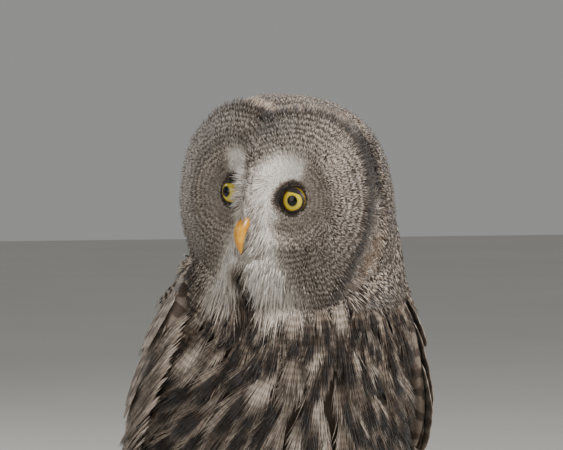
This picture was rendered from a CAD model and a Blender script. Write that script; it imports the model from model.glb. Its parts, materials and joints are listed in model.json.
import json
import math
import bpy
import bmesh
import numpy as np
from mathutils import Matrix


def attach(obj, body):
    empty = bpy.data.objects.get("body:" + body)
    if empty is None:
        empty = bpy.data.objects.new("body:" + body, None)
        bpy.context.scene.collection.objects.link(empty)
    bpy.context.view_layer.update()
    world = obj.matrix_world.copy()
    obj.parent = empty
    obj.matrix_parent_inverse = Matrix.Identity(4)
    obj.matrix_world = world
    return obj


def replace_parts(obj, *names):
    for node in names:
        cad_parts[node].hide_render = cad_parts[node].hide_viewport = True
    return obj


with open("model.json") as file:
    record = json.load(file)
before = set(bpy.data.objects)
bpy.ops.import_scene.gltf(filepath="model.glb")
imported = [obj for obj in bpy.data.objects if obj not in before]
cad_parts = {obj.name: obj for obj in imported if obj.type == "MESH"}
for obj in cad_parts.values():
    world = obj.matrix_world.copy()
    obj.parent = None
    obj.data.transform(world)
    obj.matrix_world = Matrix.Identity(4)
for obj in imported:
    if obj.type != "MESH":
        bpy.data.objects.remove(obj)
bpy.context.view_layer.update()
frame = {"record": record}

draw = np.random.default_rng(11)

# The bird is drawn in millimetres about its own feet, as its solids are. A sole's place in the record
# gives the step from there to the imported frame.
soleSpot = np.array([41.0, 6.0, 0.0])
leftSole = next(mount for mount in frame["record"]["mounts"] if mount["name"] == "sole_left")
frameShift = np.array(leftSole["pos_m"]) * 1000 - soleSpot


# Small maths

def mix(a, b, share):
    return a + (b - a) * share


def bump(offset, spread):
    return np.exp(-((offset / spread) ** 2))


def smoothStep(low, high, value):
    share = np.clip((value - low) / (high - low), 0, 1)
    return share * share * (3 - 2 * share)


def unit(vectors):
    return vectors / np.maximum(np.linalg.norm(vectors, axis=-1, keepdims=True), 1e-9)


def stack(*parts):
    return np.stack(np.broadcast_arrays(*parts), axis=-1).astype(float)


def route(points):
    # A curve through the points: on each stretch a cubic whose slope at a point is half the step
    # between its two neighbours, read at an array of shares of the way
    points = np.asarray(points, float)
    single = points.ndim == 1
    if single:
        points = points[:, None]
    ends = np.vstack([2 * points[0] - points[1], points, 2 * points[-1] - points[-2]])

    def read(share):
        place = np.clip(np.asarray(share, float), 0, 1) * (len(points) - 1)
        step = np.minimum(place.astype(int), len(points) - 2)
        t = (place - step)[..., None]
        before, start, end, after = (ends[step + k] for k in range(4))
        slopeStart, slopeEnd = (end - before) / 2, (after - start) / 2
        out = (2 * start - 2 * end + slopeStart + slopeEnd) * t ** 3
        out = out + (3 * end - 3 * start - 2 * slopeStart - slopeEnd) * t ** 2 + slopeStart * t + start
        return out[..., 0] if single else out
    return read


# The head's form, in its own frame: x across, -y forwards, z up

head = {
    "halfWidth": 90.0, "halfHeight": 80.1, "crownHeight": 75.6, "faceDepth": 52.2, "napeDepth": 72.0,
    "outlinePower": 2.35, "facePower": 2.6, "napePower": 2.2, "crownNarrowing": 0.12,
    "crownFlattening": 0.3, "centre": (0, -46, 440), "turn": -48, "tilt": 5,
}
face = {"ridgeFrom": -78, "ridgeRun": 150, "bowlDepth": 12, "rimHeight": 3.2, "rimWidth": 0.06, "slope": 0.1}
eye = {"radius": 11.5, "forward": 32.5, "across": 28.3, "pupil": 3.8, "iris": 9.7, "bulge": 0.9,
       "outward": 0.24}
ridgeAt = route([3, 9, 9, 3, 6, 12, 13, 12, 7, 1, 0])


def headOutline(turn):
    # A superellipse: the power mean of the half width and the half height, lower over the eyes than
    # under them
    power = head["outlinePower"]
    height = np.where(np.sin(turn) > 0, head["crownHeight"], head["halfHeight"])
    wide, high = np.abs(np.cos(turn) / head["halfWidth"]), np.abs(np.sin(turn) / height)
    return (wide ** power + high ** power) ** (-1 / power)


def discReach(turn):
    return 0.93 - 0.156 * bump(turn - np.pi / 2, 0.5)


def discPlace(across, up):
    # How far past the disc's rim a place is, as a share of the way from the middle of the face to
    # the head's outline
    turn = np.mod(np.arctan2(up, across), 2 * np.pi)
    return np.hypot(across, up) / headOutline(turn) - discReach(turn)


def faceRelief(across, up, reach, turn):
    # A ridge between two bowls round the eyes, a raised rim, and a slope from the brow to the chin
    level = (up - face["ridgeFrom"]) / face["ridgeRun"]
    spread = mix(26, 13, smoothStep(0.1, 0.35, level))
    ridge = ridgeAt(level) * bump(across, spread)
    bowls = face["bowlDepth"] * bump(np.abs(across) - eye["across"] - 3, 26) * bump(up, 32)
    rim = face["rimHeight"] * bump(reach - discReach(turn), face["rimWidth"])
    return ridge - bowls + rim - face["slope"] * up * (1 - reach * reach)


def headPoint(turn, way):
    # Rings round the line of sight from the face (way 0) to the nape (way 1). Each ring is the
    # outline scaled by a power of the sine of its swing, set forward by the same power of the cosine
    # and by the face's relief.
    turn = np.mod(turn, 2 * np.pi)
    front = way < 0.5
    power = np.where(front, head["facePower"], head["napePower"])
    swing = way * np.pi
    reach = np.clip(np.sin(swing), 0, 1) ** (2 / power)
    up = headOutline(turn) * reach * np.sin(turn)
    level = up / head["crownHeight"]
    narrowing = 1 - head["crownNarrowing"] * smoothStep(-0.7, 0.6, level) * smoothStep(0.3, 0.55, way)
    flattening = 1 - head["crownFlattening"] * smoothStep(-0.9, 0.6, level)
    across = headOutline(turn) * reach * np.cos(turn) * narrowing
    depth = np.where(front, head["faceDepth"], head["napeDepth"] * flattening)
    depth = depth * np.abs(np.cos(swing)) ** (2 / power)
    relief = faceRelief(across, up, reach, turn) * smoothStep(0, 0.25, 1 - reach ** 6)
    return stack(across, np.where(front, -depth - relief, depth), up)


def spin(axis, degrees):
    c, s = math.cos(math.radians(degrees)), math.sin(math.radians(degrees))
    if axis == "z":
        return np.array([[c, -s, 0], [s, c, 0], [0, 0, 1]])
    return np.array([[c, 0, s], [0, 1, 0], [-s, 0, c]])


headSpin = spin("z", head["turn"]) @ spin("y", head["tilt"])
headCentre = np.array(head["centre"], float)


def headToBody(points):
    return points @ headSpin.T + headCentre


def bodyToHead(points):
    return (points - headCentre) @ headSpin


# The trunk's form

trunkLine = route([
    (0, -44, 470), (0, -43, 432), (0, -36, 392), (0, -18, 346), (0, 7, 298), (0, 36, 252),
    (0, 66, 214), (0, 94, 190), (0, 118, 172),
])
trunkSize = route([  # half width, depth of the breast, depth of the back
    (44, 40, 38), (78, 66, 68), (88, 76, 74), (95, 85, 68), (100, 93, 60), (100, 104, 55),
    (88, 110, 44), (64, 92, 28), (30, 44, 14),
])
neckPinch = route([0.42, 0.42, 0.38, 0.12, 0, 0, 0, 0, 0])


def lineHeading(line, way):
    return unit(line(way + 0.01) - line(way - 0.01))


def trunkReach(turn, way):
    # Half the width and the depth at a place, both pinched under the face
    size = trunkSize(way)
    facing = np.clip(np.cos(turn - math.radians(head["turn"] - 90)), 0, 1)
    pinch = 1 - neckPinch(way) * facing ** 1.5
    depth = np.where(np.sin(turn) > 0, size[..., 2], size[..., 1])
    return size[..., 0] * pinch, depth * pinch


def roundEnd(share):
    return np.clip(1 - (1 - np.clip(share, 0, 1)) ** 2, 0, 1)


def trunkPoint(turn, way):
    # Ellipses with a separate depth for breast and back, set square to the leaning trunk line, closed
    # by round ends over the first and last 0.07 of it
    centre, heading = trunkLine(way), lineHeading(trunkLine, way)
    back = stack(np.zeros_like(way), -heading[..., 2], heading[..., 1])
    ends = np.sqrt(roundEnd(way / 0.07) * roundEnd((1 - way) / 0.07))
    half, depth = trunkReach(turn, way)
    side = stack(np.cos(turn) * half * ends, 0 * turn, 0 * turn)
    return centre + side + back * (np.sin(turn) * depth * ends)[..., None]


def limbPoint(line, radius, turn, way, flatten=1.0, sideways=(1, 0, 0)):
    # A tube round a line, closed by an end term that falls to nothing at both ends
    sideways = np.array(sideways, float)
    heading = lineHeading(line, way)
    side = unit(sideways - heading * (heading @ sideways)[..., None])
    up = np.cross(side, heading)
    size = radius(way) * np.sqrt(np.clip(1 - (2 * way - 1) ** 8, 0, 1))
    across, above = np.cos(turn) * size, np.sin(turn) * size * flatten
    return line(way) + side * across[..., None] + up * above[..., None]


# The folded wings' sheets

wingLowerEdge = route([
    (84, -50, 366), (102, -38, 318), (117, 0, 254), (104, 60, 196), (68, 132, 142), (36, 203, 113),
    (17, 266, 68),
])
wingBackEdge = route([
    (38, 34, 394), (36, 62, 345), (27, 94, 288), (18, 122, 238), (9, 154, 182), (6, 212, 130),
    (5, 268, 71),
])
wingBow = route([9, 19, 26, 24, 14, 6, 1.5])


def wingPoint(along, across, height, side):
    # A sheet between the lower and the back edge, bowed outwards by 4 a (1 - a), and a height square
    # to it
    low, high = wingLowerEdge(along), wingBackEdge(along)
    chord = high - low
    run = wingLowerEdge(along + 0.01) + wingBackEdge(along + 0.01)
    run = run - wingLowerEdge(along - 0.01) - wingBackEdge(along - 0.01)
    outward = unit(np.cross(run, chord))
    bow = wingBow(along) * 4 * across * (1 - across)
    place = low + chord * across[..., None] + outward * (bow + height)[..., None]
    return place * np.array([side, 1, 1])


def wingChord(along):
    return np.linalg.norm(wingLowerEdge(along) - wingBackEdge(along), axis=-1) * 1.08 + 2


# Meshes from arrays

def toMetres(points):
    return (np.asarray(points, float) + frameShift) / 1000


def meshFromArrays(name, points, triangles, marks=None, patch=None):
    # points (n, 3) in millimetres, triangles (m, 3), marks a value for each point by name, patch a
    # place on the bake map for each point
    mesh = bpy.data.meshes.new(name)
    triangles = np.asarray(triangles, np.int32)
    mesh.vertices.add(len(points))
    mesh.vertices.foreach_set("co", toMetres(points).astype(np.float32).ravel())
    mesh.loops.add(triangles.size)
    mesh.loops.foreach_set("vertex_index", triangles.ravel())
    mesh.polygons.add(len(triangles))
    mesh.polygons.foreach_set("loop_start", np.arange(0, triangles.size, 3, dtype=np.int32))
    for key, values in (marks or {}).items():
        layer = mesh.attributes.new(key, "FLOAT", "POINT")
        layer.data.foreach_set("value", np.asarray(values, np.float32).ravel())
    if patch is not None:
        layer = mesh.uv_layers.new(name="OFBake")
        layer.uv.foreach_set("vector", np.asarray(patch, np.float32)[triangles.ravel()].ravel())
    mesh.update()
    mesh.validate()
    piece = bpy.data.objects.new(name, mesh)
    bpy.context.scene.collection.objects.link(piece)
    return piece


def gridTriangles(rows, columns):
    # Two triangles for each cell of a grid whose columns close on themselves
    r, c = np.meshgrid(np.arange(rows - 1), np.arange(columns), indexing="ij")
    a, b = r * columns + c, r * columns + (c + 1) % columns
    d, e = a + columns, b + columns
    return np.concatenate([stack(a, b, e).reshape(-1, 3), stack(a, e, d).reshape(-1, 3)]).astype(np.int32)


def closedGrid(pointAt, around, along):
    # Samples a form of (turn, way) on a grid whose first and last rows shrink to poles
    turn, way = np.meshgrid(np.arange(around) / around * 2 * np.pi, np.linspace(0, 1, along + 1))
    points = pointAt(turn, way)
    points[0], points[-1] = points[0].mean(axis=0), points[-1].mean(axis=0)
    return points.reshape(-1, 3), gridTriangles(along + 1, around)


def limbGrid(line, radius, around, along, **shape):
    return closedGrid(lambda turn, way: limbPoint(line, radius, turn, way, **shape), around, along)


def joinArrays(forms):
    # Puts several (points, triangles) forms into one pair of arrays
    counts = np.cumsum([0] + [len(points) for points, _ in forms[:-1]])
    return (np.concatenate([points for points, _ in forms]),
            np.concatenate([triangles + count for (_, triangles), count in zip(forms, counts)]))


def cleanUp(piece):
    # Merges the doubled points at poles and turns every face outwards
    work = bmesh.new()
    work.from_mesh(piece.data)
    bmesh.ops.remove_doubles(work, verts=work.verts, dist=2e-6)
    bmesh.ops.recalc_face_normals(work, faces=work.faces)
    work.to_mesh(piece.data)
    work.free()
    return piece


def readPoints(piece):
    points = np.empty(len(piece.data.vertices) * 3, np.float32)
    piece.data.vertices.foreach_get("co", points)
    normals = np.empty_like(points)
    piece.data.vertices.foreach_get("normal", normals)
    return points.reshape(-1, 3) * 1000.0 - frameShift, normals.reshape(-1, 3).astype(float)


def applyModifier(piece, kind, **settings):
    modifier = piece.modifiers.new(kind.title(), kind)
    for key, value in settings.items():
        setattr(modifier, key, value)
    bpy.context.view_layer.objects.active = piece
    with bpy.context.temp_override(object=piece, active_object=piece, selected_objects=[piece]):
        bpy.ops.object.modifier_apply(modifier=modifier.name)


def finishPiece(piece, material):
    piece.data.materials.clear()
    piece.data.materials.append(material)
    piece.data.polygons.foreach_set("use_smooth", np.ones(len(piece.data.polygons), bool))
    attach(piece, "root")
    return piece


# Materials

def linearColour(hexColour):
    parts = [int(hexColour[i:i + 2], 16) / 255 for i in (1, 3, 5)]
    return tuple(p / 12.92 if p <= 0.04045 else ((p + 0.055) / 1.055) ** 2.4 for p in parts) + (1.0,)


def addNode(tree, kind, links=None, **settings):
    # Adds one node: plain settings become its properties, and links fill its sockets by name or
    # number, from another node's socket, from its first output, or with a fixed value
    node = tree.nodes.new(kind)
    for key, value in settings.items():
        setattr(node, key, value)
    for socket, source in (links or {}).items():
        target = node.inputs[socket]
        if isinstance(source, bpy.types.Node):
            source = source.outputs[0]
        if isinstance(source, bpy.types.NodeSocket):
            tree.links.new(source, target)
        else:
            target.default_value = source
    return node


def newMaterial(name):
    material = bpy.data.materials.new(name)
    material.use_nodes = True
    material.node_tree.nodes.clear()
    return material, material.node_tree


def setRamp(node, stops):
    ramp = node.color_ramp
    while len(ramp.elements) < len(stops):
        ramp.elements.new(0.5)
    for element, (place, colour) in zip(ramp.elements, stops):
        element.position = place
        element.color = linearColour(colour)


plumageColours = {
    "ramp": [(0.0, "#f1eee8"), (0.22, "#c2bab0"), (0.42, "#8d8378"), (0.62, "#5a4e44"), (0.82, "#2c231d"),
             (1.0, "#120d0a")],
    "warm": "#c39a6b",
    "barbSpacing": 1.4,  # millimetres: barbs lie about 0.9 apart, too fine to show
}


def plumage(name, barSpacing, wobble=0.35, barbs=0.0, roughness=0.78):
    # Keratin feather: matt, with a faint sheen from its barbules. Five marks on the mesh drive it:
    # shade runs from white to black-brown, warm adds tan, barMm is a distance along the feather,
    # barDepth how strongly it is barred, and barbMm the distance across a vane's barbs.
    material, tree = newMaterial(name)
    marks = {key: addNode(tree, "ShaderNodeAttribute", attribute_name=key).outputs["Fac"]
             for key in ("shade", "warm", "barMm", "barDepth", "barbMm")}
    place = addNode(tree, "ShaderNodeTexCoord").outputs["Object"]
    patchy = addNode(tree, "ShaderNodeTexNoise", {"Vector": place, "Scale": 70.0, "Detail": 2.0})
    fine = addNode(tree, "ShaderNodeTexNoise", {"Vector": place, "Scale": 900.0, "Detail": 1.0})
    phase = addNode(tree, "ShaderNodeMath", {0: marks["barMm"], 1: barSpacing}, operation="DIVIDE")
    phase = addNode(tree, "ShaderNodeMath", {0: patchy, 1: wobble, 2: phase}, operation="MULTIPLY_ADD")
    phase = addNode(tree, "ShaderNodeMath", {0: phase, 1: 2 * math.pi}, operation="MULTIPLY")
    wave = addNode(tree, "ShaderNodeMath", {0: phase}, operation="SINE")
    edges = {"Value": wave, "From Min": -0.45, "From Max": 0.45, "To Min": -0.5, "To Max": 0.5}
    bar = addNode(tree, "ShaderNodeMapRange", edges, interpolation_type="SMOOTHSTEP")
    shade = addNode(tree, "ShaderNodeMath", {0: bar, 1: marks["barDepth"], 2: marks["shade"]},
                    operation="MULTIPLY_ADD")
    fine = addNode(tree, "ShaderNodeMath", {0: fine, 1: 0.5}, operation="SUBTRACT")
    shade = addNode(tree, "ShaderNodeMath", {0: fine, 1: 0.22, 2: shade}, operation="MULTIPLY_ADD")
    patchy = addNode(tree, "ShaderNodeMath", {0: patchy, 1: 0.5}, operation="SUBTRACT")
    shade = addNode(tree, "ShaderNodeMath", {0: patchy, 1: 0.12, 2: shade}, operation="MULTIPLY_ADD",
                    use_clamp=True)
    ramp = addNode(tree, "ShaderNodeValToRGB", {"Fac": shade})
    setRamp(ramp, plumageColours["ramp"])
    tan = {"Factor": marks["warm"], "A": ramp, "B": linearColour(plumageColours["warm"])}
    colour = addNode(tree, "ShaderNodeMix", tan, data_type="RGBA", blend_type="MULTIPLY").outputs["Result"]
    finish = {"Base Color": colour, "Roughness": roughness, "Sheen Weight": 0.12, "Sheen Roughness": 0.5,
              "Specular IOR Level": 0.28}
    if barbs:
        turns = addNode(tree, "ShaderNodeMath",
                        {0: marks["barbMm"], 1: 2 * math.pi / plumageColours["barbSpacing"]},
                        operation="MULTIPLY")
        stripe = addNode(tree, "ShaderNodeMath", {0: turns}, operation="SINE")
        finish["Normal"] = addNode(tree, "ShaderNodeBump", {"Height": stripe, "Strength": barbs,
                                                            "Distance": 0.0002})
    shader = addNode(tree, "ShaderNodeBsdfPrincipled", finish)
    addNode(tree, "ShaderNodeOutputMaterial", {"Surface": shader})
    return material


# The second value is the spacing of the bars in millimetres
faceFeather = plumage("filoplume face feather", 3.9, wobble=0.7)
crownFeather = plumage("barred head feather", 3.9, wobble=0.9)
bodyFeather = plumage("loose body feather", 5.2, wobble=0.8)
legFeather = plumage("short leg feather", 4.6, wobble=0.8)
wingFeather = plumage("barred wing vane", 17.0, wobble=1.3, barbs=0.35, roughness=0.7)
tailFeather = plumage("barred tail vane", 26.0, wobble=0.5, barbs=0.35, roughness=0.7)


# Marks: where the plumage is pale, dark, tan and barred

def hashOf(seed, salt):
    return np.mod(np.sin(seed * 12.9898 + salt * 78.233) * 43758.5453, 1.0)


def eyePolar(across, up):
    # Distance and angle round the nearer eye: 0 points away from the beak, 90 up, 180 to the beak
    outward = np.abs(across) - eye["across"]
    return np.hypot(outward, up), np.degrees(np.arctan2(up, outward)) % 360


def faceMarks(across, up, seed):
    outward = np.abs(across)
    r, angle = eyePolar(across, up)
    toRim = discPlace(across, up)
    # White: a brow over the inner side of each eye, and a beard on both sides of the chin
    brow = smoothStep(58, 90, angle) * (1 - smoothStep(215, 255, angle))
    white = 1.3 * brow * smoothStep(11, 15, r) * (1 - smoothStep(21, 33, r))
    low = smoothStep(-25, -75, up)
    beard = bump((outward - mix(13, 23, low)) / mix(11, 18, low), 1) * smoothStep(-14, -30, up)
    white = np.clip(white + 1.5 * beard, 0, 1) * (1 - smoothStep(0.0, 0.04, toRim) * 0.7)
    # Dark: a thin ring at the lids, a shadow over the inner corner, the chin and the forehead
    dark = 0.36 * (1 - smoothStep(9.9, 10.6, r))
    corner = smoothStep(30, 70, angle) * (1 - smoothStep(185, 225, angle))
    dark = np.maximum(dark, 0.42 * corner * (1 - smoothStep(10.2, 12.8, r)))
    chin = bump(across + 6, mix(5.0, 10, smoothStep(-45, -80, up))) * smoothStep(-40, -48, up)
    forehead = 0.26 * bump(outward, 12) * smoothStep(26, 50, up)
    # The rim: a dark band, and outside it one of tan, white and black flecks
    rimDark = bump(toRim + 0.056, 0.026) * (1 - 0.6 * smoothStep(-50, -75, up))
    rimTan = bump(toRim + 0.004, 0.03) * (1 - 0.65 * smoothStep(-48, -70, up))
    shade = 0.44 + 0.05 * smoothStep(20, 60, r) + (hashOf(seed, 1) - 0.5) * 0.2
    shade = mix(shade, 0.1 * hashOf(seed, 2), white)
    shade = shade + dark * (1 - 0.4 * white) + forehead
    shade = mix(shade, 0.86 + 0.1 * hashOf(seed, 12), chin * 0.95)
    shade = mix(shade, 0.78 + 0.22 * hashOf(seed, 3), rimDark * (1 - 0.8 * white))
    flecks = 0.02 + 0.7 * hashOf(seed, 13) ** 3
    shade = mix(shade, flecks, np.clip(1.3 * rimTan, 0, 1) * (1 - 0.4 * white))
    warm = 0.12 + 0.75 * rimTan * (0.4 + 0.6 * hashOf(seed, 4)) + 0.25 * chin
    depth = (0.16 + 0.2 * smoothStep(12, 34, r)) * (1 - 0.95 * white) * (1 - chin) * (1 - rimDark)
    rings = r + (hashOf(seed, 5) - 0.5) * 2.8
    return {"shade": shade, "warm": np.clip(warm, 0, 1), "barMm": rings, "barDepth": depth}


def headMarks(points, seed):
    # Marks of the whole head in its own frame: the facial disc in front, fine bars behind
    across, forward, up = points[..., 0], -points[..., 1], points[..., 2]
    front = faceMarks(across, up, seed)
    inFace = (1 - smoothStep(0.05, 0.075, discPlace(across, up))) * smoothStep(-2, 6, forward)
    crown = {"shade": 0.5 + (hashOf(seed, 6) - 0.5) * 0.26, "warm": 0.22 + 0.2 * hashOf(seed, 7),
             "barMm": -forward + 0.5 * up + hashOf(seed, 8) * 4, "barDepth": 0.5 + 0 * up}
    return {key: mix(crown[key], front[key], inFace) for key in front}


def trunkCoordinates(points):
    # The nearest place along the trunk line, the angle round it, the share of the way out to the
    # plain trunk, and the line's heading there
    ways = np.linspace(0, 1, 161)
    line, headings = trunkLine(ways), lineHeading(trunkLine, ways)
    steps = points[:, None, 1:] - line[None, :, 1:]
    ahead = (steps * headings[None, :, 1:]).sum(axis=2)
    far = np.linalg.norm(steps, axis=2)
    nearest = np.argmin(np.abs(ahead) + 0.25 * far, axis=1)
    way, heading = ways[nearest], headings[nearest]
    offset = points - line[nearest]
    back = stack(0 * way, -heading[:, 2], heading[:, 1])
    x, y = offset[:, 0], (offset * back).sum(axis=1)
    half, depth = trunkReach(np.arctan2(y, x), way)
    return way, np.arctan2(y / depth, x / half), np.hypot(x / half, y / depth), heading


# Skin

skinDepth = {"face": 4.5, "socket": 1.4, "crown": 5.0, "neck": 6.5, "trunk": 11.0, "thigh": 7.0,
             "shank": 4.0, "toe": 2.2, "voxel": 0.0024}
leg = {"across": 41.0, "footForward": 5.0}
toeRows = {"inner": (-24, 40), "middle": (10, 46), "outer": (82, 38), "hind": (172, 30)}  # degrees, length


def thighLine(x):
    line = route([(x, 20, 215), (x, 14, 170), (x * 1.04, 12, 125), (x * 1.04, 17, 88), (x * 1.02, 21, 62)])
    return line, route([40, 42, 39, 32, 27])


def shankLine(x):
    line = route([(x, 24, 90), (x, 20, 58), (x, 10, 30), (x, 5, 8), (x, 4, 2)])
    return line, route([26, 25, 19, 14.5, 12.5])


def toeDirection(side, angle):
    return np.array([side * math.sin(math.radians(angle)), -math.cos(math.radians(angle)), 0.0])


def toeRoute(side, angle, stops):
    # A line from the foot along a toe, through (distance, height) stops
    foot = np.array([side * leg["across"], leg["footForward"], 0.0])
    heading = toeDirection(side, angle)
    return route([foot + heading * reach + np.array([0, 0, height]) for reach, height in stops])


def toeGrid(side, angle, stops, radius, around, along):
    across = np.cross(toeDirection(side, angle), (0, 0, 1))
    return limbGrid(toeRoute(side, angle, stops), route(radius), around, along, sideways=across)


def inset(form, depthAt):
    # Moves a closed form's points in along their normals, by a depth for each point
    piece = cleanUp(meshFromArrays("work", *form))
    places, normals = readPoints(piece)
    places = places - normals * (depthAt(places) * np.ones(len(places)))[:, None]
    faces = np.empty(len(piece.data.polygons) * 3, np.int32)
    piece.data.polygons.foreach_get("vertices", faces)
    bpy.data.meshes.remove(piece.data)
    return places, faces.reshape(-1, 3)


def headDepth(places):
    # Thin round the eyeballs, deeper on the face and deepest under the crown's longer feathers
    r, _ = eyePolar(places[:, 0], places[:, 2])
    front = smoothStep(-5, 10, -places[:, 1])
    return mix(skinDepth["crown"], mix(skinDepth["socket"], skinDepth["face"], smoothStep(12, 26, r)), front)


def trunkDepth(places):
    return mix(skinDepth["trunk"], skinDepth["neck"], smoothStep(320, 370, places[:, 2]))


def buildSkin():
    headPlaces, headFaces = inset(closedGrid(headPoint, 120, 80), headDepth)
    forms = [(headToBody(headPlaces), headFaces), inset(closedGrid(trunkPoint, 120, 90), trunkDepth)]
    for side in (-1, 1):
        x = side * leg["across"]
        forms.append(inset(limbGrid(*thighLine(x), 60, 40), lambda places: skinDepth["thigh"]))
        forms.append(inset(limbGrid(*shankLine(x), 40, 30), lambda places: skinDepth["shank"]))
        for angle, length in toeRows.values():
            stops = [(2, 8), (14, 9.5), (length * 0.62, 8), (length, 6)]
            toe = toeGrid(side, angle, stops, [8, 8.6, 7.8, 6.4], 28, 22)
            forms.append(inset(toe, lambda places: skinDepth["toe"]))
    piece = cleanUp(meshFromArrays("skin", *joinArrays(forms)))
    applyModifier(piece, "REMESH", mode="VOXEL", voxel_size=skinDepth["voxel"])
    applyModifier(piece, "SMOOTH", iterations=3, factor=0.5)
    # The nape runs into the neck without a fold, so the skin is smoothed most there
    places, _ = readPoints(piece)
    nape = smoothStep(-8, 20, bodyToHead(places)[:, 1]) * bump(places[:, 2] - 402, 42)
    group = piece.vertex_groups.new(name="nape")
    for level in (0.25, 0.5, 0.75, 1.0):
        group.add(np.flatnonzero(np.abs(nape - level) <= 0.125).tolist(), level, "REPLACE")
    applyModifier(piece, "SMOOTH", iterations=60, factor=0.9, vertex_group="nape")
    # Nothing of the soles reaches below the floor
    places, _ = readPoints(piece)
    places[:, 2] = np.maximum(places[:, 2], 0.0)
    piece.data.vertices.foreach_set("co", toMetres(places).astype(np.float32).ravel())
    piece.data.update()
    return piece


print("skin")
skin = buildSkin()
skinPoints, skinNormals = readPoints(skin)
skin.data.calc_loop_triangles()
skinFaces = np.empty(len(skin.data.loop_triangles) * 3, np.int32)
skin.data.loop_triangles.foreach_get("vertices", skinFaces)
skinFaces = skinFaces.reshape(-1, 3)
skinCorners = skinPoints[skinFaces]
skinMiddles = skinCorners.mean(axis=1)
skinEdges = (skinCorners[:, 1] - skinCorners[:, 0], skinCorners[:, 2] - skinCorners[:, 0])
skinArea = np.linalg.norm(np.cross(*skinEdges), axis=1) / 2
throatPoint = headToBody(np.array([[0, -40, -89.0]]))[0]
throatUp = unit(headSpin @ np.array([0, -0.33, 1.0]))


def regionOf(points):
    # Which part of the skin a point is on: 1 the head, 0 the trunk, 2 legs and feet
    _, _, reach, _ = trunkCoordinates(points)
    onLegs = (points[:, 2] < 190) & (reach > 0.98) & (points[:, 1] < 62) | (points[:, 2] < 88)
    onHead = (points - throatPoint) @ throatUp > 0
    return np.where(onHead, 1, np.where(onLegs, 2, 0))


def sampleSkin(count, density, seed):
    # Draws points on the skin's triangles, each triangle as often as its area times its density
    weight = skinArea * density(skinMiddles)
    pick = np.random.default_rng(seed)
    chosen = pick.choice(len(skinArea), size=count, p=weight / weight.sum())
    a, b = pick.random(count), pick.random(count)
    flip = a + b > 1
    a, b = np.where(flip, 1 - a, a)[:, None], np.where(flip, 1 - b, b)[:, None]

    def blend(values):
        return values[:, 0] * (1 - a - b) + values[:, 1] * a + values[:, 2] * b
    return blend(skinCorners[chosen]), unit(blend(skinNormals[skinFaces[chosen]])), pick


def spacedSkin(spacing, inside, seed):
    # Points on the skin at least a spacing apart: a dense draw thinned with a grid of cells
    count = int((skinArea * inside(skinMiddles)).sum() / spacing ** 2 * 9)
    points, normals, pick = sampleSkin(count, inside, seed)
    kept, cells = [], {}
    for i, (x, y, z) in enumerate(map(tuple, np.floor(points / spacing).astype(int))):
        near = [j for dx in (-1, 0, 1) for dy in (-1, 0, 1) for dz in (-1, 0, 1)
                for j in cells.get((x + dx, y + dy, z + dz), ())]
        if near and np.min(np.sum((points[near] - points[i]) ** 2, axis=1)) < spacing ** 2:
            continue
        cells.setdefault((x, y, z), []).append(i)
        kept.append(i)
    return points[kept], normals[kept], pick


# Tufts and feathers

def spindles(centres, sides, lifts, widths):
    # Thin closed blades. centres (n, k, 3) run from root to tip; the inner k - 2 become rings of
    # three points: left, right and a raised middle. Returns points (n, m, 3), the row of each point,
    # and triangles.
    n, k, _ = centres.shape
    inner = centres[:, 1:-1]
    left = inner + sides * widths[..., None] / 2
    right = inner - sides * widths[..., None] / 2
    ridge = inner + lifts * (widths * 0.35)[..., None]
    rings = np.stack([left, right, ridge], axis=2).reshape(n, (k - 2) * 3, 3)
    points = np.concatenate([centres[:, :1], rings, centres[:, -1:]], axis=1)
    rows = np.concatenate([[0], np.repeat(np.arange(1, k - 1), 3), [k - 1]])
    m = points.shape[1]
    faces = [(0, 1, 3), (0, 3, 2), (0, 2, 1)]
    for ring in range(k - 3):
        a, b = 1 + 3 * ring, 4 + 3 * ring
        for p, q in ((0, 2), (2, 1), (1, 0)):
            faces += [(a + p, b + p, b + q), (a + p, b + q, a + q)]
    a = 1 + 3 * (k - 3)
    faces += [(a, m - 1, a + 2), (a + 2, m - 1, a + 1), (a + 1, m - 1, a)]
    triangles = (np.arange(n)[:, None, None] * m + np.array(faces)[None]).reshape(-1, 3)
    return points, rows, triangles


def headUnwrap(local):
    # The head unrolled round the line of sight: the angle off it becomes the distance from the middle
    off = np.arccos(np.clip(-unit(local)[:, 1], -1, 1)) / np.pi
    turn = np.arctan2(local[:, 2], local[:, 0])
    return stack(0.5 + 0.48 * off * np.cos(turn), 0.5 + 0.48 * off * np.sin(turn))


def trunkUnwrap(points):
    # The trunk unrolled: once round across the map, and from the neck to the tail up it
    way, turn, _, _ = trunkCoordinates(points)
    return stack(0.02 + 0.95 * np.mod(turn / (2 * np.pi) + 0.25, 1), 0.02 + 0.95 * way)


def coatPiece(name, points, triangles, marks, unwrap, across, along, material):
    # Each tuft is a patch 0.003 wide on the bake map, at its root's place on the unwrap
    marks = {key: np.broadcast_to(value, points.shape[:2]).ravel() for key, value in marks.items()}
    patch = unwrap[:, None, :] + stack(across, along) * 0.003
    piece = meshFromArrays(name, points.reshape(-1, 3), triangles, marks, patch.reshape(-1, 2))
    return finishPiece(piece, material)


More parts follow.
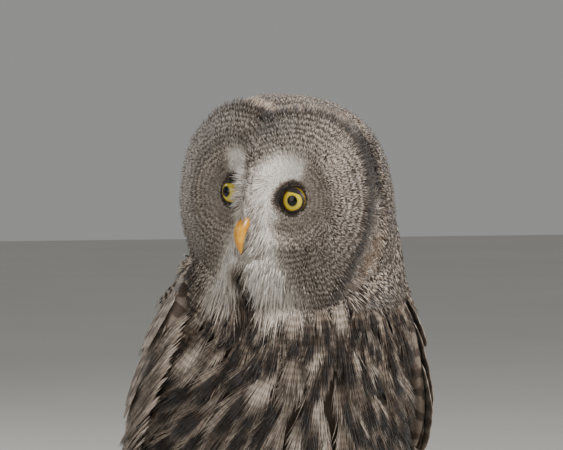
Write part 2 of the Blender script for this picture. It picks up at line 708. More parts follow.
def tuftCoat(name, root, normal, lie, length, width, lift, curl, marksAt, unwrap, material, levels=1):
    # Single blades: the middle line leaves along the lie, rises by the lift and settles back by the
    # curl. The root sits 1 mm down in the skin.
    n = len(root)
    lie = unit(lie - normal * (lie * normal).sum(axis=1, keepdims=True))
    side = np.cross(lie, normal)
    share = np.linspace(0, 1, levels + 2)
    reach = share[None, :] * length[:, None]
    slope = lift[:, None] * share[None] - curl[:, None] * share[None] ** 2
    rise = slope * length[:, None] - 1.0 * (share[None] < 0.01)
    centres = root[:, None] + lie[:, None] * reach[..., None] + normal[:, None] * rise[..., None]
    taper = np.interp(share[1:-1], [0, 0.3, 0.7, 1], [0.7, 1.0, 0.75, 0.2])
    tilt = (draw.random(n)[:, None, None] - 0.5) * 0.9
    sides = np.broadcast_to(unit(side[:, None] + normal[:, None] * tilt), (n, levels, 3))
    lifts = np.broadcast_to(normal[:, None], (n, levels, 3))
    points, rows, triangles = spindles(centres, sides, lifts, width[:, None] * taper[None])
    seed = np.broadcast_to(draw.random(n)[:, None] * 97, points.shape[:2])
    along = share[rows][None] + 0 * seed
    across = np.broadcast_to(np.resize([0, 0.1, 0.9, 0.5], len(rows)), seed.shape)
    marks = marksAt(points, root, along, seed)
    return coatPiece(name, points, triangles, marks, unwrap, across, along, material)


def featherCoat(name, root, normal, lie, length, width, rise, strands):
    # Whole feathers, each a fan of strands that leave its shaft one after another and end along a
    # rounded tip. A strand's middle line runs from a share of the shaft to the tip line 1 - 0.3 t^2,
    # and out by t half widths.
    n, levels, strandWidth = len(root), 2, 1.1
    lie = unit(lie - normal * (lie * normal).sum(axis=1, keepdims=True))
    side = np.cross(lie, normal)
    t = np.linspace(-1, 1, strands)[None] + (draw.random((n, strands)) - 0.5) * (2.6 / strands)
    start = draw.random((n, strands)) ** 1.3 * 0.55
    end = 1 - 0.3 * t ** 2 - draw.random((n, strands)) * 0.16
    share = np.linspace(0, 1, levels + 2)[None, None]
    along = start[..., None] * 0.8 + (end - start * 0.8)[..., None] * share
    drift = (draw.random((n, strands)) - 0.5)[..., None] * 0.35 * share ** 2
    foot = 0.12 + start[..., None] * 0.35
    out = t[..., None] * (foot + (0.88 - start[..., None] * 0.35) * share ** 0.9) + drift
    height = rise[:, None, None] * (along ** 0.85) - 0.14 * width[:, None, None] * out ** 2 * along
    height = height + (draw.random((n, strands)) - 0.4)[..., None] * 2.2 * share
    height = height - 1.5 * (share < 0.01)
    half = width[:, None, None] / 2

    def place(axis, amount):
        return axis[:, None, None, :] * amount[..., None]
    centres = root[:, None, None] + place(lie, along * length[:, None, None])
    centres = centres + place(side, out * half) + place(normal, height)
    centres = centres.reshape(n * strands, levels + 2, 3)
    taper = np.interp(share[0, 0, 1:-1], [0, 0.3, 0.7, 1], [0.8, 1.0, 0.8, 0.2])
    widths = np.broadcast_to(strandWidth * taper, (n * strands, levels))
    widths = widths * (0.75 + 0.5 * draw.random((n * strands, 1)))
    sideAll, upAll = (np.repeat(axis, strands, axis=0)[:, None] for axis in (side, normal))
    twist = (draw.random((n * strands, 1, 1)) - 0.5) * 0.8
    sides = np.broadcast_to(unit(sideAll + upAll * twist), (n * strands, levels, 3))
    lifts = np.broadcast_to(upAll, (n * strands, levels, 3))
    points, rows, triangles = spindles(centres, sides, lifts, widths)
    along, out = (values.reshape(n * strands, levels + 2)[:, rows] for values in (along, out))
    seed = np.repeat(draw.random(n) * 97, strands)[:, None] + 0 * along
    strandSeed = draw.random(n * strands)[:, None] * 53 + 0 * seed
    marks = bodyMarks(along, out, np.repeat(root, strands, axis=0), seed, strandSeed,
                      np.repeat(length, strands)[:, None])
    unwrap = np.repeat(trunkUnwrap(root), strands, axis=0)
    across = np.clip(0.5 + 0.5 * out, 0, 1)
    return coatPiece(name, points, triangles, marks, unwrap, across, np.clip(along, 0, 1), bodyFeather)


# The coat in numbers: how many tufts, and how far apart feathers are rooted in millimetres
coat = {
    "faceTufts": 32500, "facePieces": 2, "bristles": 7200, "crownTufts": 26000, "crownPieces": 2,
    "breastSpacing": 11.6, "neckSpacing": 8.0, "backSpacing": 11.5, "legTufts": 26000, "strandShare": 1.0,
}


# Face

def facePlace(points):
    # A point in the head's frame, and whether it is on the facial disc
    local = bodyToHead(points)
    across, forward, up = local[:, 0], -local[:, 1], local[:, 2]
    inFace = (forward > 2) & (discPlace(across, up) < 0.055) & (regionOf(points) == 1)
    return local, inFace


def faceDensity(points):
    local, inFace = facePlace(points)
    r, _ = eyePolar(local[:, 0], local[:, 2])
    return inFace * (r > eye["radius"] - 1.7) * (1 + 2.6 * bump(r - 11, 12))


def faceLie(local):
    # Every face feather points away from the nearer eye, and down the chin under the beak
    across, up = local[:, 0], local[:, 2]
    side = np.where(across >= 0, 1, -1)
    lie = unit(stack(across - side * eye["across"], 0 * up, up))
    chin = (bump(across, 17) * smoothStep(-34, -50, up))[:, None]
    return unit(lie * (1 - 0.75 * chin) + np.array([0, 0, -1.0]) * chin)


def faceMarksAt(points, root, share, seed):
    # A tuft keeps the colour of its root's place, and only the rings run on along it
    local, rooted = bodyToHead(points.reshape(-1, 3)).reshape(points.shape), bodyToHead(root)
    across, up = rooted[:, None, 0], rooted[:, None, 2]
    marks = faceMarks(across, up, seed)
    marks["barMm"] = marks["barMm"] + eyePolar(local[..., 0], local[..., 2])[0] - eyePolar(across, up)[0]
    marks["shade"] = marks["shade"] - 0.07 * share + 0.05
    return marks


print("face")
for index in range(coat["facePieces"]):
    root, normal, pick = sampleSkin(coat["faceTufts"], faceDensity, 100 + index)
    local = bodyToHead(root)
    across, up = local[:, 0], local[:, 2]
    r, _ = eyePolar(across, up)
    lie = faceLie(local) + pick.normal(0, 0.12, (len(root), 3))
    ridge = bump(across, 9) * smoothStep(-20, 0, up)
    length = mix(3.6, 11.5, smoothStep(9, 30, r)) * (0.75 + 0.5 * pick.random(len(root)))
    beard = mix(bump(np.abs(across) - 17, 18), 1, 0.6) * smoothStep(-34, -60, up)
    ragged = 0.35 + 1.3 * hashOf(root.sum(axis=1), 3) ** 1.5
    length = length * (1 + 1.4 * beard * ragged) * (1 - 0.25 * ridge)
    width = mix(0.8, 1.15, smoothStep(12, 40, r)) * (0.8 + 0.4 * pick.random(len(root)))
    lift = mix(0.12, 0.42, smoothStep(10, 26, r)) + 0.1 * pick.random(len(root)) + 0.3 * ridge
    tuftCoat(f"face_feathers_{index + 1}", root, normal, lie @ headSpin.T, length, width, lift,
             lift * 0.35, faceMarksAt, headUnwrap(local), faceFeather)

# Bristles round the beak's base reach forward and down over it, so that only its ridge and tip show
bristle = {"length": 19, "width": 0.85, "lowest": -30, "highest": 18}
side = np.where(draw.random(coat["bristles"]) < 0.5, -1, 1)
levelShare, sideShare = draw.random((coat["bristles"], 2)).T
up = mix(bristle["lowest"], bristle["highest"], levelShare)
across = mix(0.5, 12, sideShare) + 4 * smoothStep(-16, -28, up)
turn = np.arctan2(up, side * across)
reach = np.hypot(up, across) / headOutline(turn)
root = headPoint(turn, np.arcsin(reach ** 1.3) / np.pi) + np.array([0, 4.0, 0])
climb = mix(-0.95, 0.5, smoothStep(-17, 22, up))
lie = unit(stack(side * mix(-0.05, 0.75, sideShare ** 2), -0.75 + 0 * side, climb)
           + draw.normal(0, 0.1, (len(root), 3)))
normal = unit(stack(side * 0.8, -0.4 + 0 * side, 0.3 + 0 * side))
length = bristle["length"] * mix(1.05, 0.62, levelShare) * (0.55 + 0.65 * draw.random(len(root)))
width = np.full(len(root), bristle["width"])
lift = 0.1 + 0.1 * draw.random(len(root))


def bristleMarksAt(points, root, share, seed):
    # White, and dark at the tip of about one in seven
    tips = 0.5 * share * (hashOf(seed, 2) > 0.85)
    return {"shade": 0.03 + 0.2 * hashOf(seed, 1) + tips, "warm": 0.1, "barMm": 0.0, "barDepth": 0.0}


tuftCoat("beak_bristles", headToBody(root), normal @ headSpin.T, lie @ headSpin.T, length, width, lift,
         lift * 3, bristleMarksAt, headUnwrap(root), faceFeather, levels=2)


# Crown and nape

def throatArea(points):
    # Under the disc, where the neck's own longer feathers start
    local = bodyToHead(points)
    return (local[:, 2] < -66) & (local[:, 1] < 12)


def crownDensity(points):
    _, inFace = facePlace(points)
    return (regionOf(points) == 1) & ~inFace & ~throatArea(points)


def crownLie(local):
    # Back over the crown and down the sides and the nape
    down = smoothStep(50, -30, local[:, 2]) * 0.8 + 0.5 * smoothStep(0, 60, local[:, 1])
    return unit(stack(0.35 * np.sign(local[:, 0]) * bump(local[:, 1] + 20, 30), 1.0, -down))


def crownMarksAt(points, root, share, seed):
    local, rooted = bodyToHead(points.reshape(-1, 3)).reshape(points.shape), bodyToHead(root)
    marks = headMarks(rooted[:, None] + 0 * local, seed)
    marks["barMm"] = local[..., 1] + 0.5 * local[..., 2] + hashOf(seed, 8) * 4
    marks["shade"] = marks["shade"] + 0.1 - 0.16 * share
    return marks


print("crown")
for index in range(coat["crownPieces"]):
    root, normal, pick = sampleSkin(coat["crownTufts"], crownDensity, 200 + index)
    local = bodyToHead(root)
    lie = crownLie(local) + pick.normal(0, 0.14, (len(root), 3))
    low = smoothStep(0, -70, local[:, 2])
    length = mix(11, 19, low) * (0.75 + 0.5 * pick.random(len(root)))
    width = mix(1.4, 1.7, low) * (0.8 + 0.4 * pick.random(len(root)))
    lift = 0.5 + 0.22 * pick.random(len(root))
    tuftCoat(f"crown_feathers_{index + 1}", root, normal, lie @ headSpin.T, length, width, lift,
             lift * 0.5, crownMarksAt, headUnwrap(local), crownFeather)


# Body feathers

def bodyMarks(along, out, root, seed, strandSeed, length):
    # On the breast a broad dark streak down the middle of each feather, broken at its edges, on grey
    # with paler fringes; bars behind and on the neck
    way, turn, _, _ = trunkCoordinates(root)
    front, neck = smoothStep(0.25, -0.55, np.sin(turn))[:, None], (1 - smoothStep(0.24, 0.4, way))[:, None]
    low = smoothStep(330, 230, root[:, 2])[:, None]
    edge = mix(0.32, 0.5, hashOf(seed, 2)) + 0.2 * (hashOf(strandSeed, 3) - 0.5)
    centre = (hashOf(seed, 4) - 0.5) * 0.4
    streak = smoothStep(edge + 0.12, edge - 0.12, np.abs(out - centre)) * smoothStep(0.3, 0.55, along)
    streak = streak * (1 - 0.6 * smoothStep(0.9, 1.0, along)) * smoothStep(0.1, 0.35, hashOf(seed, 5))
    pale = mix(0.4, 0.25, low) + 0.16 * (hashOf(strandSeed, 6) - 0.5) + 0.2 * (hashOf(seed, 7) - 0.5)
    streaked = mix(pale, 0.94, streak)
    barred = 0.52 + 0.22 * (hashOf(strandSeed, 8) - 0.5) + 0.16 * (hashOf(seed, 9) - 0.5)
    plain = np.maximum(1 - front, neck * mix(0.75, 0.15, front))
    return {"shade": mix(streaked, barred, plain), "warm": 0.2 + 0.2 * hashOf(seed, 10) + 0.1 * streak,
            "barMm": along * length + hashOf(seed, 11) * 40, "barDepth": mix(0.06, 0.42, plain)}


def trunkLie(points):
    # Down the trunk, and fanned outwards across the breast
    _, turn, _, heading = trunkCoordinates(points)
    fan = 0.9 * np.clip((points[:, 0] - 34) / 80, -1, 0.5) * smoothStep(0.2, -0.4, np.sin(turn))
    fan = fan * smoothStep(370, 310, points[:, 2])
    return heading + stack(fan, 0 * fan, 0 * fan)


def addBody(prefix, inside, spacing, length, width, rise, strands, seed):
    # Feathers at a spacing over one part of the skin, in pieces of at most 15,500 strands
    strands = int(strands * coat["strandShare"])
    root, normal, pick = spacedSkin(spacing, inside, seed)
    lie = trunkLie(root) + pick.normal(0, 0.1, (len(root), 3))
    vary = 0.82 + 0.36 * pick.random(len(root))
    parts = math.ceil(len(root) * strands / 15500)
    order = pick.permutation(len(root))
    vary = vary * (1 + 0.3 * smoothStep(250, 175, root[:, 2]))
    for index, chosen in enumerate(np.array_split(order, parts)):
        some = vary[chosen]
        featherCoat(f"{prefix}_{index + 1}", root[chosen], normal[chosen], lie[chosen], length * some,
                    width * some, rise * (0.8 + 0.4 * some / 1.18), strands)
    print(prefix, len(root), "feathers in", parts, "pieces")


def addRow(name, alongRange, acrossRange, count, height, slant, length, width, rise, strands):
    # Rows of body feathers rooted at an edge of the wings, so that the plumage laps over that edge
    strands = int(strands * coat["strandShare"])
    sides, alongs, acrosses = np.repeat([-1, 1], count), draw.random(2 * count), draw.random(2 * count)
    alongs, acrosses = mix(*alongRange, np.sort(alongs)), mix(*acrossRange, acrosses)
    heights = height + 0 * alongs

    def each(alongs, acrosses, heights):
        rows = zip(alongs, acrosses, heights, sides)
        return np.stack([wingPoint(np.array(a), np.array(c), np.array(h), side) for a, c, h, side in rows])
    root = each(alongs, acrosses, heights)
    normal = unit(each(alongs, acrosses, heights + 1) - root)
    down = unit(each(alongs + 0.02, acrosses, heights) - root)
    inward = unit(each(alongs, acrosses + 0.02, heights) - root)
    vary = 0.8 + 0.4 * draw.random(2 * count)
    lie = down + inward * slant + draw.normal(0, 0.08, root.shape)
    featherCoat(name, root, normal, lie, length * vary, width * vary, rise * vary, strands)


def neckArea(points):
    way, _, _, _ = trunkCoordinates(points)
    _, inFace = facePlace(points)
    region = regionOf(points)
    return (region == 0) & (way < 0.33) | (region == 1) & throatArea(points) & ~inFace


def breastArea(points):
    way, turn, _, _ = trunkCoordinates(points)
    return (regionOf(points) == 0) & (way >= 0.31) & (np.sin(turn) < 0.25)


def backArea(points):
    way, turn, _, _ = trunkCoordinates(points)
    return (regionOf(points) == 0) & (way >= 0.31) & (np.sin(turn) >= 0.25)


# After the area: the spacing, the feathers' length, width and rise in millimetres, their strands
print("body feathers")
addBody("neck_feathers", neckArea, coat["neckSpacing"], 32, 14, 13.0, 36, 301)
addBody("breast_feathers", breastArea, coat["breastSpacing"], 52, 22, 16.0, 60, 302)
addBody("back_feathers", backArea, coat["backSpacing"], 36, 21, 14.0, 34, 303)
addRow("flank_feathers", (0.03, 0.62), (-0.1, 0.04), 150, -7, 0.3, 46, 20, 19.0, 34)
addRow("mantle_feathers", (0.02, 0.5), (0.9, 1.12), 130, -2, -0.12, 40, 20, 16.0, 34)


# Legs and feet

def legDensity(points):
    return (regionOf(points) == 2) * np.where(points[:, 2] < 26, 2.2, 1.0) * (points[:, 2] > 1.5)


def legLie(points):
    # Down the leg, and out along the toes near the floor
    side = np.sign(points[:, 0])
    out = points - stack(side * leg["across"], leg["footForward"], 0)
    out[:, 2] = 0
    low = smoothStep(26, 14, points[:, 2])[:, None]
    return unit(mix(np.array([0, 0.06, -1.0]), unit(out) + np.array([0, 0, -0.25]), low))


def legMarksAt(points, root, share, seed):
    tall = smoothStep(20, 120, points[..., 2])
    return {"shade": 0.34 + 0.2 * (hashOf(seed, 1) - 0.5) + 0.1 * tall, "warm": 0.2 + 0.15 * hashOf(seed, 2),
            "barMm": points[..., 2] + hashOf(seed, 3) * 6, "barDepth": mix(0.15, 0.3, tall)}


print("legs")
root, normal, pick = sampleSkin(coat["legTufts"], legDensity, 401)
height = root[:, 2]
length = mix(5.0, mix(15, 36, smoothStep(50, 120, height)), smoothStep(14, 40, height))
length = length * (0.75 + 0.5 * pick.random(len(root)))
width = mix(1.1, 1.9, smoothStep(14, 110, height)) * (0.8 + 0.4 * pick.random(len(root)))
lift = 0.42 + 0.15 * pick.random(len(root))
lift = np.where(height < 8, 0.1, lift)
legUnwrap = stack(0.5 + 0.24 * np.sign(root[:, 0]) + 0.06 * unit(normal)[:, 0], 0.02 + 0.95 * height / 230)
lie = legLie(root) + pick.normal(0, 0.12, (len(root), 3))
tuftCoat("leg_feathers", root, normal, lie, length, width, lift, lift * 0.5, legMarksAt, legUnwrap,
         legFeather)

# The skin has the head's marks under the head's coat, and a plain dark tone under the body's
plainMarks = {"shade": 0.55, "warm": 0.25, "barMm": 0.0, "barDepth": 0.0}
region = regionOf(skinPoints)
marks = headMarks(bodyToHead(skinPoints), np.floor(skinPoints.sum(axis=1)))
for key, plain in plainMarks.items():
    values = np.where(region == 1, marks[key], plain) + (0.12 if key == "shade" else 0)
    skin.data.attributes.new(key, "FLOAT", "POINT").data.foreach_set("value", values.astype(np.float32))
finishPiece(skin, bodyFeather)
legNodes = [f"{part}_{side}" for side in ("left", "right") for part in ("thigh", "shank")]
legNodes += [f"toe_{side}_{name}" for side in ("left", "right") for name in toeRows]
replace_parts(skin, "head", "neck", "torso", *legNodes)


# Vanes of the wings and the tail

vaneOutline = route([0.5, 0.9, 1.0, 0.98, 0.86, 0.5])
shingle = 1.25  # millimetres that one vane lies over the next


def vaneForm(placeAt, chordAt, start, end, rise, pitch, wide, lean, looks, steps=26, columns=7, seed=0.0):
    # One vane: rows along the shaft, columns out to both edges on top and back underneath, with
    # rounded ends. Its edge wavers a little, as barbs part.
    share, t = np.meshgrid(np.linspace(0, 1, steps + 1), np.linspace(-1, 1, columns), indexing="ij")
    tip = np.sqrt(np.clip(1 - np.clip((share - 0.86) / 0.14, 0, 1) ** 2, 0, 1))
    endRound = tip * np.clip(share / 0.04, 0, 1) ** 0.5
    waver = 1 + 0.05 * np.sin(share * 23 + seed) * np.abs(t) + 0.03 * np.sin(share * 61 + seed * 3)
    reach = t * wide * vaneOutline(share) * endRound * waver
    along = mix(start[0], end[0], share)
    across = mix(start[1], end[1], share) + reach * mix(pitch[0], pitch[1], share) / chordAt(along)
    crease = 0.35 * bump(t, 0.12)
    height = mix(rise[0], rise[1], share) + lean * shingle * reach - 0.5 * np.abs(t) ** 2 + crease
    top = placeAt(along, across, height)
    under = placeAt(along, across, height - 0.7 * np.clip(endRound, 0.05, 1))[:, ::-1]
    points = np.concatenate([top, under], axis=1)
    points[0], points[-1] = points[0].mean(axis=0), points[-1].mean(axis=0)
    length = np.linalg.norm(top[-1, columns // 2] - top[0, columns // 2])

    def both(values):
        return np.concatenate([values, values[:, ::-1]], axis=1).ravel()
    fringe = smoothStep(0.6, 0.95, np.abs(t)) * looks["fringe"]
    paleWeb = looks["paleWeb"] * smoothStep(0.1, 0.5, -t) * (0.55 + 0.45 * np.sin(share * 14 + seed))
    shade = looks["shade"] + 0.05 * np.sin(seed * 7) - fringe - paleWeb + 0.12 * bump(t, 0.1)
    barDepth = looks["bars"] * (1 - 0.3 * np.abs(t)) * (1 - np.clip(paleWeb, 0, 1))
    marks = {"shade": both(shade), "warm": both(0.28 + 0 * t), "barDepth": both(barDepth),
             "barMm": both(share * length + np.abs(t) * 5 + seed * 5),
             "barbMm": both(share * length - np.abs(t) * 9)}
    around = np.linspace(0, 1, 2 * columns)[None] + 0 * share[:, :1]
    patch = stack(around, np.concatenate([share, share[:, ::-1]], axis=1)).reshape(-1, 2)
    return points.reshape(-1, 3), gridTriangles(steps + 1, 2 * columns), marks, patch


def padForm(pointAt, shade, barDepth, barScale):
    # The plain body under the vanes, with marks and patches like theirs
    around, along = 40, 30
    points, triangles = closedGrid(pointAt, around, along)
    n = len(points)
    marks = {"shade": np.full(n, shade), "warm": np.full(n, 0.25), "barMm": points[:, 2] * barScale,
             "barDepth": np.full(n, barDepth), "barbMm": np.zeros(n)}
    column, row = np.meshgrid(np.arange(around) / around, np.linspace(0, 1, along + 1))
    return points, triangles, marks, stack(column, row).reshape(-1, 2)


def joinVanes(name, vanes, material):
    # Each vane gets a cell of its own on the bake map, in a square grid of cells
    points, triangles = joinArrays([(vane[0], vane[1]) for vane in vanes])
    marks = {key: np.concatenate([vane[2][key] for vane in vanes]) for key in vanes[0][2]}
    cells = math.ceil(math.sqrt(len(vanes)))
    patch = np.concatenate([(np.array([i % cells, i // cells]) + 0.04 + 0.92 * vane[3]) / cells
                            for i, vane in enumerate(vanes)])
    return finishPiece(cleanUp(meshFromArrays(name, points, triangles, marks, patch)), material)


# A row's root and tip each hold: along at its first and last vane, across at both, and the height
wingRows = {
    "primaries": {"count": 8, "bars": 0.3, "shade": 0.62,
                  "root": (0.42, 0.44, 0.42, 0.12, -5.5), "tip": (0.82, 1.0, 0.74, 0.3, 0.0)},
    "secondaries": {"count": 11, "bars": 0.28, "shade": 0.58,
                    "root": (0.32, 0.32, 0.08, 0.92, -1.0), "tip": (0.78, 0.62, 0.12, 0.86, 3.4)},
    "greater": {"count": 11, "bars": 0.26, "shade": 0.55,
                "root": (0.2, 0.2, 0.06, 0.88, 0.4), "tip": (0.47, 0.43, 0.06, 0.86, 5.4)},
    "median": {"count": 11, "bars": 0.24, "shade": 0.55,
               "root": (0.1, 0.1, 0.08, 0.8, 2.2), "tip": (0.32, 0.3, 0.08, 0.8, 7.6)},
    "lesser": {"count": 9, "bars": 0.22, "shade": 0.56,
               "root": (0.03, 0.03, 0.12, 0.74, 4.0), "tip": (0.19, 0.18, 0.1, 0.74, 9.6)},
    "scapulars": {"count": 7, "bars": 0.3, "shade": 0.5, "pitch": 11.0,
                  "root": (0.04, 0.2, 0.86, 0.95, 3.5), "tip": (0.28, 0.5, 0.74, 0.86, 10.6)},
}


def rowPitch(row, start, end):
    # The space between a row's vanes at their roots and at their tips
    if "pitch" in row:
        return [row["pitch"]] * 2
    return [float(wingChord(np.array(where[0]))) * abs(row[stop][3] - row[stop][2]) / (row["count"] - 1)
            for where, stop in ((start, "root"), (end, "tip"))]


def buildWing(name, side):
    def armPoint(turn, way):
        along = 0.64 * (1 - way)
        taper = np.sqrt(np.clip(1 - (2 * way - 1) ** 8, 0, 1))
        across = 0.5 + 0.47 * np.cos(turn) * np.maximum(0.1, taper)
        lift = np.sin(turn)
        depth = mix(22, 4, smoothStep(0.3, 1, along / 0.64))
        height = 8 - 18 * along - 5.6 + np.where(lift > 0, 5, depth) * lift * taper
        return wingPoint(along, across, height, side)

    def sidePoint(along, across, height):
        return wingPoint(along, across, height, side)
    vanes = [padForm(armPoint, 0.6, 0.2, 1.0)]
    for rowIndex, row in enumerate(wingRows.values()):
        for i in range(row["count"]):
            s = i / (row["count"] - 1)
            start, end = ((mix(row[stop][0], row[stop][1], s), mix(row[stop][2], row[stop][3], s))
                          for stop in ("root", "tip"))
            pitch = rowPitch(row, start, end)
            seed = rowIndex * 3.1 + i * 1.7
            looks = {"shade": row["shade"], "bars": row["bars"], "fringe": 0.08,
                     "paleWeb": 0.42 if "pitch" in row else 0.1}
            end = (end[0] + 0.006 * math.sin(seed * 5), end[1])
            vanes.append(vaneForm(sidePoint, wingChord, start, end, (row["root"][4], row["tip"][4]), pitch,
                                  1.12, -1, looks, seed=seed))
    return joinVanes(name, vanes, wingFeather)


print("wings")
for name, side in (("left", 1), ("right", -1)):
    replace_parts(buildWing(f"wing_vanes_{name}", side), f"wing_{name}")

tail = {"root": (0, 92, 191.0), "length": 290, "slope": 51, "half": 36, "pairs": 6, "arch": 0.0022}


def tailPoint(along, across, height):
    slope = math.radians(tail["slope"])
    run = np.array([0, math.sin(slope), -math.cos(slope)])
    up = np.array([0, math.cos(slope), math.sin(slope)])
    lifted = height - tail["arch"] * across * across
    return (np.array(tail["root"]) + along[..., None] * tail["length"] * run + lifted[..., None] * up
            + across[..., None] * np.array([1.0, 0, 0]))


def tailCovertPoint(turn, way):
    along = mix(-0.02, 0.5, way)
    taper = np.sqrt(np.clip(1 - (2 * way - 1) ** 6, 0, 1))
    lift = np.sin(turn)
    depth = np.where(lift > 0, mix(10, 2, way), mix(33, 4, smoothStep(0, 1, way))) * taper
    return tailPoint(along, np.cos(turn) * mix(tail["half"], 24, way) * taper, lift * depth - 2.4)


print("tail")
tailVanes = [padForm(tailCovertPoint, 0.5, 0.25, 1.3)]
tailLooks = {"shade": 0.6, "bars": 0.34, "fringe": 0.1, "paleWeb": 0}
for pair in range(tail["pairs"]):
    for side in (-1, 1):
        outward = (pair + 0.5) / tail["pairs"]
        drop = -shingle * (pair + (0.9 if side > 0 and pair == 0 else 0))
        spread = outward * side * tail["half"]
        start, end = (0.1, spread * 0.6), (1 - 0.08 * outward ** 2, spread)
        tailVanes.append(vaneForm(tailPoint, np.ones_like, start, end, (drop + 1, drop + 3), (5, 8), 2.15,
                                  -side * 0.5, tailLooks, steps=40, seed=pair * 0.2 + side * 0.05))
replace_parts(joinVanes("tail_vanes", tailVanes, tailFeather), "tail")


# Eyes, lids, beak and claws

def eyeMaterial():
    # Wet cornea over a yellow iris: a sharp highlight, a black pupil and a dark rim
    material, tree = newMaterial("cornea over yellow iris")
    distance, angle = (addNode(tree, "ShaderNodeAttribute", attribute_name=key).outputs["Fac"]
                       for key in ("irisMm", "irisTurn"))
    around = addNode(tree, "ShaderNodeMath", {0: angle, 1: 9.0}, operation="MULTIPLY")
    outward = addNode(tree, "ShaderNodeMath", {0: distance, 1: 0.3}, operation="MULTIPLY")
    place = addNode(tree, "ShaderNodeCombineXYZ", {"X": around, "Y": outward})
    streaks = addNode(tree, "ShaderNodeTexNoise", {"Vector": place, "Scale": 2.2, "Detail": 3.0})
    streaks = addNode(tree, "ShaderNodeMath", {0: streaks, 1: 0.5}, operation="SUBTRACT")
    width = {"Value": distance, "From Min": eye["pupil"], "From Max": eye["iris"] + 0.4}
    share = addNode(tree, "ShaderNodeMapRange", width, clamp=False)
    share = addNode(tree, "ShaderNodeMath", {0: streaks, 1: 0.35, 2: share}, operation="MULTIPLY_ADD")
    ramp = addNode(tree, "ShaderNodeValToRGB", {"Fac": share})
    setRamp(ramp, [(0.0, "#8f7c1c"), (0.18, "#cfbd3c"), (0.6, "#c4a626"), (0.85, "#8a6f12"),
                   (1.0, "#1e1505")])
    pupilEdge = {"Value": distance, "From Min": eye["pupil"] - 0.12, "From Max": eye["pupil"] + 0.12}
    onIris = addNode(tree, "ShaderNodeMapRange", pupilEdge)
    colour = addNode(tree, "ShaderNodeMix", {"Factor": onIris, "A": linearColour("#030303"), "B": ramp},
                     data_type="RGBA").outputs["Result"]
    finish = {"Base Color": colour, "Roughness": 0.12, "IOR": 1.38, "Specular IOR Level": 0.2,
              "Coat Weight": 0.5, "Coat Roughness": 0.02}
    shader = addNode(tree, "ShaderNodeBsdfPrincipled", finish)
    addNode(tree, "ShaderNodeOutputMaterial", {"Surface": shader})
    return material


def grainedMaterial(name, low, high, scale, roughness, bumpDepth, coatWeight=0.0):
    material, tree = newMaterial(name)
    place = addNode(tree, "ShaderNodeTexCoord").outputs["Object"]
    grain = addNode(tree, "ShaderNodeTexNoise", {"Vector": place, "Scale": scale, "Detail": 3.0})
    ramp = addNode(tree, "ShaderNodeValToRGB", {"Fac": grain})
    setRamp(ramp, [(0.35, low), (0.65, high)])
    normal = addNode(tree, "ShaderNodeBump", {"Height": grain, "Strength": 0.4, "Distance": bumpDepth})
    finish = {"Base Color": ramp, "Roughness": roughness, "Normal": normal, "Coat Weight": coatWeight,
              "Coat Roughness": 0.2}
    shader = addNode(tree, "ShaderNodeBsdfPrincipled", finish)
    addNode(tree, "ShaderNodeOutputMaterial", {"Surface": shader})
    return material


# Beak: smooth waxy keratin with a soft highlight. Claws: polished black keratin. Lids: thin dark skin.
billHorn = grainedMaterial("keratin beak", "#c07c14", "#e0a62e", 160.0, 0.34, 0.00015, 0.25)
clawHorn = grainedMaterial("keratin claw", "#14100e", "#352c27", 220.0, 0.28, 0.0001, 0.3)
lidSkin = grainedMaterial("bare lid skin", "#15110e", "#2b231d", 500.0, 0.5, 0.0002)


def eyeForm(side):
    # A ball with a low cornea bulge in front: radius R + b exp(-(angle / 34 deg)^2) round the gaze
    gaze = unit(np.array([side * eye["outward"], -1.0, 0.0]))
    right = unit(np.cross(gaze, (0, 0, 1.0)))
    up = np.cross(right, gaze)
    turn, off = np.meshgrid(np.arange(64) / 64 * 2 * np.pi, np.linspace(0, np.pi, 49))
    radius = eye["radius"] - 0.1 + eye["bulge"] * bump(off, math.radians(34))
    centre = np.array([side * eye["across"], -eye["forward"], 0])
    ahead, out = (radius * np.cos(off))[..., None] * gaze, radius * np.sin(off)
    local = ahead + (out * np.cos(turn))[..., None] * right + (out * np.sin(turn))[..., None] * up
    distance = np.where(off < np.pi / 2, eye["radius"] * np.sin(off), eye["radius"])
    marks = {"irisMm": distance.ravel(), "irisTurn": np.sin(turn.ravel() * 2) + turn.ravel()}
    return headToBody(centre + local.reshape(-1, 3)), gridTriangles(49, 64), marks


lid = {"innerWidth": 9.5, "innerHeight": 8.0, "outerWidth": 10.3, "outerHeight": 9.7, "cut": 6.3}


def lidForm(side):
    # A rim on spheres just outside the eyeball. Its inner edge is an ellipse cut flat by the upper lid.
    alpha, v = np.meshgrid(np.arange(72) / 72 * 2 * np.pi, np.linspace(0, 1, 15))
    centre = np.array([side * eye["across"], -eye["forward"], 0])
    innerX, innerZ = lid["innerWidth"] * np.cos(alpha), lid["innerHeight"] * np.sin(alpha)
    top = lid["cut"] - 0.05 * (side * innerX) - 0.018 * innerX ** 2
    innerZ = np.where(innerZ > top, top + 0.12 * (innerZ - top), innerZ)
    outerX, outerZ = lid["outerWidth"] * np.cos(alpha), lid["outerHeight"] * np.sin(alpha)
    fold = np.abs(2 * v - 1)  # 1 at the outer edge of both faces, 0 at the rim
    px, pz = mix(innerX, outerX, fold ** 1.2), mix(innerZ, outerZ, fold ** 1.2)
    swell = 0.4 + 0.3 * np.sin(np.clip(fold, 0, 1) * np.pi * 0.62)
    lift = np.where(v > 0.5, swell, 0.35) + 0.25 * (1 - fold)
    ball = eye["radius"] + lift
    forward = np.sqrt(np.clip(ball ** 2 - px ** 2 - pz ** 2, 4, None))
    points = centre + stack(px, -forward, pz)
    return headToBody(points.reshape(-1, 3)), gridTriangles(15, 72)


def horn(name, form, material):
    return finishPiece(cleanUp(meshFromArrays(name, *form)), material)


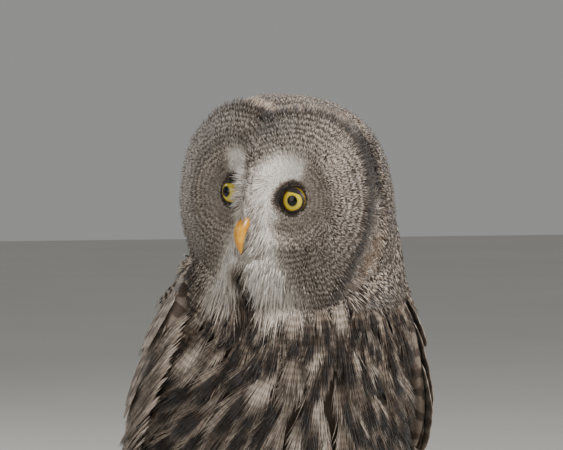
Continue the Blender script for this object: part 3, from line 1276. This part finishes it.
print("eyes, beak and claws")
irisLook = eyeMaterial()
for name, side in (("left", 1), ("right", -1)):
    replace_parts(horn(f"eyeball_{name}", eyeForm(side), irisLook), f"eye_{name}")
    horn(f"lid_{name}", lidForm(side), lidSkin)

bill = {"nostril": (4.7, -57.5, -15.5), "nostrilDepth": 1.3, "nostrilRadius": 2.0}
billLine = route([(0, -46, -15), (0, -57, -17), (0, -63.5, -23.5), (0, -64.5, -33), (0, -61, -43.5)])
billHalf = route([4.8, 5.0, 4.9, 3.6, 0.7])
jawLine = route([(0, -44, -27), (0, -50.5, -30.5), (0, -55, -34.5), (0, -57.3, -39)])
jawHalf = route([4.8, 4.8, 3.9, 1.1])


def upperBillPoint(turn, way):
    # A tapering, curved tube with a dent on each side for the nostril
    points = limbPoint(billLine, billHalf, turn, way, flatten=0.95)
    spots = [np.array(bill["nostril"]) * (side, 1, 1) for side in (-1, 1)]
    dent = sum(bump(np.linalg.norm(points - spot, axis=-1), bill["nostrilRadius"]) for spot in spots)
    return points + unit(billLine(way) - points) * (dent * bill["nostrilDepth"])[..., None]


for name, form, node in (("beak_upper", closedGrid(upperBillPoint, 72, 60), "bill_upper"),
                         ("beak_lower", limbGrid(jawLine, jawHalf, 40, 30, flatten=0.6), "bill_lower")):
    points, triangles = form
    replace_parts(horn(name, (headToBody(points), triangles), billHorn), node)

claw = {"length": 21, "radius": [3.4, 3.1, 2, 0.5]}
for sideName, side in (("left", 1), ("right", -1)):
    for toeName, (angle, length) in toeRows.items():
        stops = [(length - 7, 7), (length + claw["length"] * 0.3, 9.6), (length + claw["length"] * 0.68, 7),
                 (length + claw["length"] * 0.86, 1.6)]
        form = toeGrid(side, angle, stops, claw["radius"], 24, 24)
        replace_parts(horn(f"talon_{sideName}_{toeName}", form, clawHorn), f"claw_{sideName}_{toeName}")


# Floor, light and camera

print("studio")
studio = {"floorColours": ("#c9c6c0", "#d3d0ca"), "worldColour": "#d9dad8", "worldStrength": 0.42}

# Matt paper floor: no highlight, and a faint unevenness of tone
floorMaterial, tree = newMaterial("matt paper floor")
place = addNode(tree, "ShaderNodeTexCoord").outputs["Object"]
tone = addNode(tree, "ShaderNodeTexNoise", {"Vector": place, "Scale": 3.0})
ramp = addNode(tree, "ShaderNodeValToRGB", {"Fac": tone})
setRamp(ramp, [(0.0, studio["floorColours"][0]), (1.0, studio["floorColours"][1])])
shader = addNode(tree, "ShaderNodeBsdfPrincipled", {"Base Color": ramp, "Roughness": 0.9})
addNode(tree, "ShaderNodeOutputMaterial", {"Surface": shader})
bpy.ops.mesh.primitive_plane_add(size=14, location=(0, 0, 0))
floor = bpy.context.object
floor.name = "floor"
floor.data.materials.append(floorMaterial)

world = bpy.data.worlds.new("soft studio")
world.use_nodes = True
background = world.node_tree.nodes["Background"]
background.inputs["Color"].default_value = linearColour(studio["worldColour"])
background.inputs["Strength"].default_value = studio["worldStrength"]
bpy.context.scene.world = world

# Each lamp's place and width in metres, and its power in watts
headPlace = toMetres(headCentre)
lamps = {
    "key": ((1.2, -1.8, 1.8), 0.9, 92),
    "fill": ((-1.9, -1.2, 1.0), 1.6, 16),
    "rim": ((-0.9, 1.6, 1.7), 1.0, 30),
}
for name, (place, size, power) in lamps.items():
    light = bpy.data.lights.new(name, "AREA")
    light.size, light.energy = size, power
    lamp = bpy.data.objects.new(name, light)
    lamp.location = place
    bpy.context.scene.collection.objects.link(lamp)
    aim = headPlace - np.array(place)
    flat = math.hypot(aim[0], aim[1])
    lamp.rotation_euler = (math.atan2(flat, -aim[2]), 0, math.atan2(-aim[0], aim[1]))

# The photograph's framing: 428 mm across at the head, seen from 12 degrees to the bird's right
view = {"azimuth": -12, "elevation": 3, "distance": 3.0, "across": 0.428, "right": -8.7, "up": -23.5}
azimuth, elevation = math.radians(view["azimuth"]), math.radians(view["elevation"])
rightWay = np.array([math.cos(azimuth), math.sin(azimuth), 0])
level = math.cos(elevation)
backWay = np.array([math.sin(azimuth) * level, -math.cos(azimuth) * level, math.sin(elevation)])
target = toMetres(headCentre + rightWay * view["right"] + np.array([0, 0, view["up"]]))
camera = bpy.data.objects.new("camera", bpy.data.cameras.new("camera"))
camera.data.sensor_width = 36
camera.data.lens = 36 * view["distance"] / view["across"]
camera.data.clip_start, camera.data.clip_end = 0.1, 50
camera.location = target + backWay * view["distance"]
camera.rotation_euler = (math.pi / 2 - elevation, 0, azimuth)
bpy.context.scene.collection.objects.link(camera)
bpy.context.scene.camera = camera
